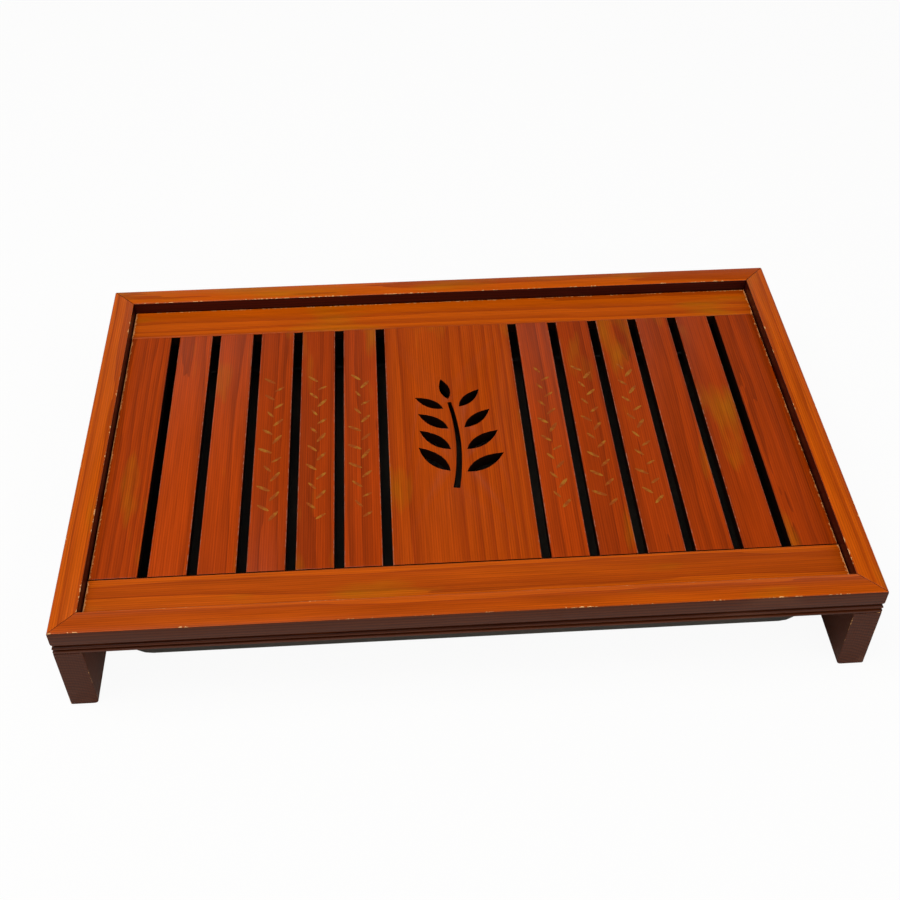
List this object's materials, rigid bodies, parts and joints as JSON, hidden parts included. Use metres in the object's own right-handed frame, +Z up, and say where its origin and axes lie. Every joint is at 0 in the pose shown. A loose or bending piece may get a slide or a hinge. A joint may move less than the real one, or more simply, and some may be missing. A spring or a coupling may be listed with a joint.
{
  "type": "tea tray",
  "caption": "Low rectangular wooden tea tray with a slatted, pierced lift-out top over a lift-out black drip pan, on two end boards.",
  "frame": {"origin": "on the floor under the centre of the tray", "axes": "+X to the right along the tray's length, +Y to its back, +Z up"},
  "size_m": [0.48, 0.312, 0.0685],
  "materials": {
    "lacquered_pine": "orange-brown gloss lacquer over pine, worn at the edges",
    "redder_pine": "darker red-brown gloss lacquer over pine",
    "stained_pine": "dark brown stain, satin",
    "raw_pine": "plain planed pine",
    "black_plastic": "near-black vacuum-formed plastic, satin gloss",
    "zinc_screw": "zinc plated"
  },
  "bodies": {
    "frame": {"front_rail": "lacquered_pine", "front_ledger": "raw_pine", "front_ledger_screw_1": "zinc_screw", "front_ledger_screw_2": "zinc_screw", "front_ledger_screw_3": "zinc_screw", "front_mitre_biscuit_left": "raw_pine", "front_mitre_biscuit_right": "raw_pine", "back_rail": "lacquered_pine", "back_ledger": "raw_pine", "back_ledger_screw_1": "zinc_screw", "back_ledger_screw_2": "zinc_screw", "back_ledger_screw_3": "zinc_screw", "back_mitre_biscuit_left": "raw_pine", "back_mitre_biscuit_right": "raw_pine", "left_rail": "lacquered_pine", "left_end_board": "stained_pine", "left_ledger": "raw_pine", "left_dowel_1": "raw_pine", "left_dowel_2": "raw_pine", "left_dowel_3": "raw_pine", "left_ledger_screw_1": "zinc_screw", "left_ledger_screw_2": "zinc_screw", "right_rail": "lacquered_pine", "right_end_board": "stained_pine", "right_ledger": "raw_pine", "right_dowel_1": "raw_pine", "right_dowel_2": "raw_pine", "right_dowel_3": "raw_pine", "right_ledger_screw_1": "zinc_screw", "right_ledger_screw_2": "zinc_screw"},
    "drip_pan": {"drip_pan": "black_plastic"},
    "slat_grid": {"front_grid_rail": "lacquered_pine", "back_grid_rail": "lacquered_pine", "centre_panel": "lacquered_pine", "left_slat_1": "redder_pine", "left_slat_2": "redder_pine", "left_slat_3": "redder_pine", "left_slat_4": "redder_pine", "left_slat_5": "redder_pine", "left_end_slat": "redder_pine", "right_slat_1": "redder_pine", "right_slat_2": "redder_pine", "right_slat_3": "redder_pine", "right_slat_4": "redder_pine", "right_slat_5": "redder_pine", "right_end_slat": "redder_pine"}
  },
  "joints": [
    {"name": "pan_lift", "type": "slide", "parent": "frame", "child": "drip_pan", "axis": [0, 0, 1], "range_m": [0, 0.08]},
    {"name": "grid_lift", "type": "slide", "parent": "drip_pan", "child": "slat_grid", "axis": [0, 0, 1], "range_m": [0, 0.06]}
  ]
}
